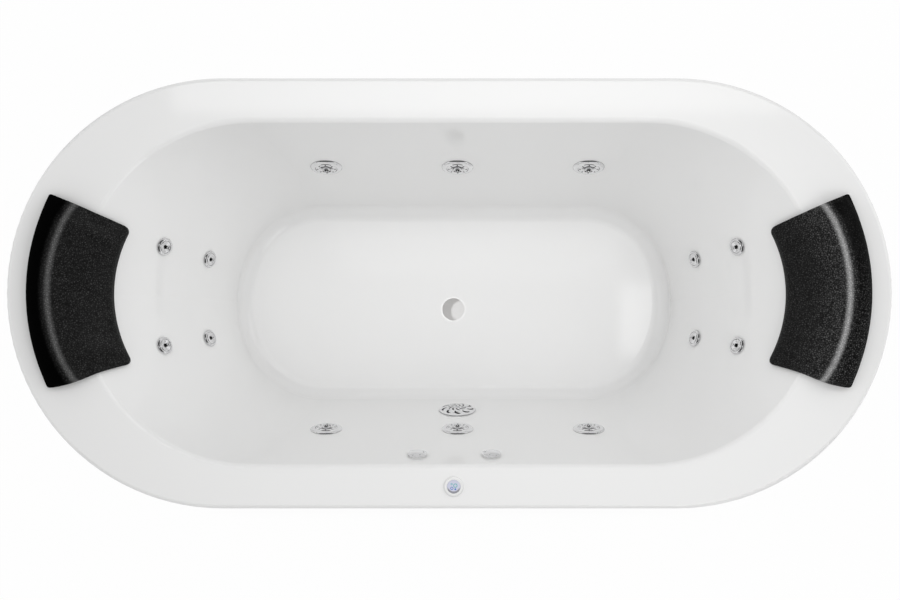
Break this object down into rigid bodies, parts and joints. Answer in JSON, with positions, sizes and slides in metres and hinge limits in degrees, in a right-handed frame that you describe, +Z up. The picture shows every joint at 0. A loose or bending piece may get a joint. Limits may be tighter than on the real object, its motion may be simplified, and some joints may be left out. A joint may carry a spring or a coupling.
{
  "type": "jetted bathtub",
  "caption": "Oval drop-in spa bath with sloped ends, long-wall main jets, end-wall mini jets, air controls, suction grille, lift-off headrests, pump, ring mains and steel cradle.",
  "frame": {"origin": "on the floor, under the middle of the rim", "axes": "+X along the bath, +Y across it away from the side with the button, +Z up"},
  "size_m": [1.79, 0.87, 0.6043],
  "materials": {
    "acrylic": "high gloss white acrylic, glass-fibre backed",
    "chrome": "polished chrome plate",
    "satin_chrome": "satin chrome plate",
    "pad_foam": "black self-skinned polyurethane foam with a fine leather grain",
    "button_lens": "pale lilac moulded cap",
    "white_plastic": "white moulded plastic",
    "pipe_white": "white pressure pipe and fittings",
    "body_grey": "moulded grey plastic fittings",
    "clear_hose": "reinforced soft hose",
    "seal_rubber": "black rubber",
    "pump_plastic": "black glass-filled plastic",
    "motor_paint": "dark grey painted aluminium",
    "steel": "zinc-plated steel",
    "chipboard": "resin-coated chipboard",
    "batten_wood": "planed softwood"
  },
  "bodies": {
    "bath": {"air_control_bodies": "white_plastic", "air_pipes": "pipe_white", "base_board": "chipboard", "bath_shell": "acrylic", "branch_hoses": "clear_hose", "button_bezel": "white_plastic", "cradle_crossbars": "steel", "cradle_fasteners": "steel", "cradle_rails": "steel", "cradle_uprights": "steel", "deck_battens": "batten_wood", "fitting_back_nuts": "body_grey", "fitting_gaskets": "seal_rubber", "main_jet_bodies": "pipe_white", "main_jet_flanges": "chrome", "mini_jet_bodies": "pipe_white", "mini_jet_flanges": "satin_chrome", "pump_casing": "pump_plastic", "pump_fan_cowl": "pump_plastic", "pump_motor": "motor_paint", "pump_terminal_box": "pump_plastic", "suction_body": "body_grey", "suction_cover": "chrome", "suction_pipe": "pipe_white", "suction_screw": "steel", "water_pipes": "pipe_white"},
    "jet_ring_1": {"main_jet_ring_1": "chrome"},
    "jet_nozzle_1": {"main_jet_nozzle_1": "chrome"},
    "jet_ring_2": {"main_jet_ring_2": "chrome"},
    "jet_nozzle_2": {"main_jet_nozzle_2": "chrome"},
    "jet_ring_3": {"main_jet_ring_3": "chrome"},
    "jet_nozzle_3": {"main_jet_nozzle_3": "chrome"},
    "jet_ring_4": {"main_jet_ring_4": "chrome"},
    "jet_nozzle_4": {"main_jet_nozzle_4": "chrome"},
    "jet_ring_5": {"main_jet_ring_5": "chrome"},
    "jet_nozzle_5": {"main_jet_nozzle_5": "chrome"},
    "jet_ring_6": {"main_jet_ring_6": "chrome"},
    "jet_nozzle_6": {"main_jet_nozzle_6": "chrome"},
    "mini_face_1": {"mini_jet_face_1": "satin_chrome"},
    "mini_face_2": {"mini_jet_face_2": "satin_chrome"},
    "mini_face_3": {"mini_jet_face_3": "satin_chrome"},
    "mini_face_4": {"mini_jet_face_4": "satin_chrome"},
    "mini_face_5": {"mini_jet_face_5": "satin_chrome"},
    "mini_face_6": {"mini_jet_face_6": "satin_chrome"},
    "mini_face_7": {"mini_jet_face_7": "satin_chrome"},
    "mini_face_8": {"mini_jet_face_8": "satin_chrome"},
    "air_knob_left": {"air_knob_left": "chrome"},
    "air_knob_right": {"air_knob_right": "chrome"},
    "button": {"control_button": "button_lens"},
    "headrest_left": {"headrest_left": "pad_foam", "headrest_cups_left": "seal_rubber"},
    "headrest_right": {"headrest_right": "pad_foam", "headrest_cups_right": "seal_rubber"},
    "foot_1": {"levelling_foot_1": "steel"},
    "foot_2": {"levelling_foot_2": "steel"},
    "foot_3": {"levelling_foot_3": "steel"},
    "foot_4": {"levelling_foot_4": "steel"},
    "foot_5": {"levelling_foot_5": "steel"},
    "foot_6": {"levelling_foot_6": "steel"},
    "pump_rotor": {"pump_rotor": "steel"}
  },
  "joints": [
    {"name": "jet_ring_1_turn", "type": "hinge", "parent": "bath", "child": "jet_ring_1", "pos_m": [-0.271, 0.28292, 0.353], "axis": [0, -0.9553, 0.2957], "range_deg": [0, 90]},
    {"name": "jet_nozzle_1_tilt", "type": "hinge", "parent": "jet_ring_1", "child": "jet_nozzle_1", "pos_m": [-0.271, 0.28961, 0.35093], "axis": [1, 0, 0], "range_deg": [-15, 15]},
    {"name": "jet_ring_2_turn", "type": "hinge", "parent": "bath", "child": "jet_ring_2", "pos_m": [0.012, 0.28292, 0.353], "axis": [0, -0.9553, 0.2957], "range_deg": [0, 90]},
    {"name": "jet_nozzle_2_tilt", "type": "hinge", "parent": "jet_ring_2", "child": "jet_nozzle_2", "pos_m": [0.012, 0.28961, 0.35093], "axis": [1, 0, 0], "range_deg": [-15, 15]},
    {"name": "jet_ring_3_turn", "type": "hinge", "parent": "bath", "child": "jet_ring_3", "pos_m": [0.295, 0.28292, 0.353], "axis": [0, -0.9553, 0.2957], "range_deg": [0, 90]},
    {"name": "jet_nozzle_3_tilt", "type": "hinge", "parent": "jet_ring_3", "child": "jet_nozzle_3", "pos_m": [0.295, 0.28961, 0.35093], "axis": [1, 0, 0], "range_deg": [-15, 15]},
    {"name": "jet_ring_4_turn", "type": "hinge", "parent": "bath", "child": "jet_ring_4", "pos_m": [-0.271, -0.28292, 0.353], "axis": [0, 0.9553, 0.2957], "range_deg": [0, 90]},
    {"name": "jet_nozzle_4_tilt", "type": "hinge", "parent": "jet_ring_4", "child": "jet_nozzle_4", "pos_m": [-0.271, -0.28961, 0.35093], "axis": [-1, 0, 0], "range_deg": [-15, 15]},
    {"name": "jet_ring_5_turn", "type": "hinge", "parent": "bath", "child": "jet_ring_5", "pos_m": [0.012, -0.28292, 0.353], "axis": [0, 0.9553, 0.2957], "range_deg": [0, 90]},
    {"name": "jet_nozzle_5_tilt", "type": "hinge", "parent": "jet_ring_5", "child": "jet_nozzle_5", "pos_m": [0.012, -0.28961, 0.35093], "axis": [-1, 0, 0], "range_deg": [-15, 15]},
    {"name": "jet_ring_6_turn", "type": "hinge", "parent": "bath", "child": "jet_ring_6", "pos_m": [0.295, -0.28292, 0.353], "axis": [0, 0.9553, 0.2957], "range_deg": [0, 90]},
    {"name": "jet_nozzle_6_tilt", "type": "hinge", "parent": "jet_ring_6", "child": "jet_nozzle_6", "pos_m": [0.295, -0.28961, 0.35093], "axis": [-1, 0, 0], "range_deg": [-15, 15]},
    {"name": "mini_face_1_turn", "type": "hinge", "parent": "bath", "child": "mini_face_1", "pos_m": [-0.60191, 0.104, 0.438], "axis": [0.7329, -0.2088, 0.6474], "range_deg": [0, 90]},
    {"name": "mini_face_2_turn", "type": "hinge", "parent": "bath", "child": "mini_face_2", "pos_m": [-0.60191, -0.104, 0.438], "axis": [0.7329, 0.2088, 0.6474], "range_deg": [0, 90]},
    {"name": "mini_face_3_turn", "type": "hinge", "parent": "bath", "child": "mini_face_3", "pos_m": [-0.52804, 0.086, 0.328], "axis": [0.8601, -0.2039, 0.4677], "range_deg": [0, 90]},
    {"name": "mini_face_4_turn", "type": "hinge", "parent": "bath", "child": "mini_face_4", "pos_m": [-0.52804, -0.086, 0.328], "axis": [0.8601, 0.2039, 0.4677], "range_deg": [0, 90]},
    {"name": "mini_face_5_turn", "type": "hinge", "parent": "bath", "child": "mini_face_5", "pos_m": [0.60191, 0.104, 0.438], "axis": [-0.7329, -0.2088, 0.6474], "range_deg": [0, 90]},
    {"name": "mini_face_6_turn", "type": "hinge", "parent": "bath", "child": "mini_face_6", "pos_m": [0.60191, -0.104, 0.438], "axis": [-0.7329, 0.2088, 0.6474], "range_deg": [0, 90]},
    {"name": "mini_face_7_turn", "type": "hinge", "parent": "bath", "child": "mini_face_7", "pos_m": [0.52804, 0.086, 0.328], "axis": [-0.8601, -0.2039, 0.4677], "range_deg": [0, 90]},
    {"name": "mini_face_8_turn", "type": "hinge", "parent": "bath", "child": "mini_face_8", "pos_m": [0.52804, -0.086, 0.328], "axis": [-0.8601, 0.2039, 0.4677], "range_deg": [0, 90]},
    {"name": "air_knob_left_turn", "type": "hinge", "parent": "bath", "child": "air_knob_left", "pos_m": [-0.067, -0.33059, 0.507], "axis": [0, 0.9553, 0.2957], "range_deg": [0, 180]},
    {"name": "air_knob_right_turn", "type": "hinge", "parent": "bath", "child": "air_knob_right", "pos_m": [0.085, -0.33059, 0.507], "axis": [0, 0.9553, 0.2957], "range_deg": [0, 180]},
    {"name": "button_press", "type": "slide", "parent": "bath", "child": "button", "axis": [0, 0, -1], "range_m": [0, 0.003], "stiffness_N_per_m": 700, "springref_m": -0.004},
    {"name": "headrest_left_lift", "type": "slide", "parent": "bath", "child": "headrest_left", "axis": [0, 0, 1], "range_m": [0, 0.1]},
    {"name": "headrest_right_lift", "type": "slide", "parent": "bath", "child": "headrest_right", "axis": [0, 0, 1], "range_m": [0, 0.1]},
    {"name": "foot_1_level", "type": "slide", "parent": "bath", "child": "foot_1", "axis": [0, 0, 1], "range_m": [-0.02, 0.01]},
    {"name": "foot_2_level", "type": "slide", "parent": "bath", "child": "foot_2", "axis": [0, 0, 1], "range_m": [-0.02, 0.01]},
    {"name": "foot_3_level", "type": "slide", "parent": "bath", "child": "foot_3", "axis": [0, 0, 1], "range_m": [-0.02, 0.01]},
    {"name": "foot_4_level", "type": "slide", "parent": "bath", "child": "foot_4", "axis": [0, 0, 1], "range_m": [-0.02, 0.01]},
    {"name": "foot_5_level", "type": "slide", "parent": "bath", "child": "foot_5", "axis": [0, 0, 1], "range_m": [-0.02, 0.01]},
    {"name": "foot_6_level", "type": "slide", "parent": "bath", "child": "foot_6", "axis": [0, 0, 1], "range_m": [-0.02, 0.01]},
    {"name": "pump_spin", "type": "hinge", "parent": "bath", "child": "pump_rotor", "pos_m": [-0.6755, -0.132, 0.21485], "axis": [0, 1, 0], "continuous": true}
  ]
}
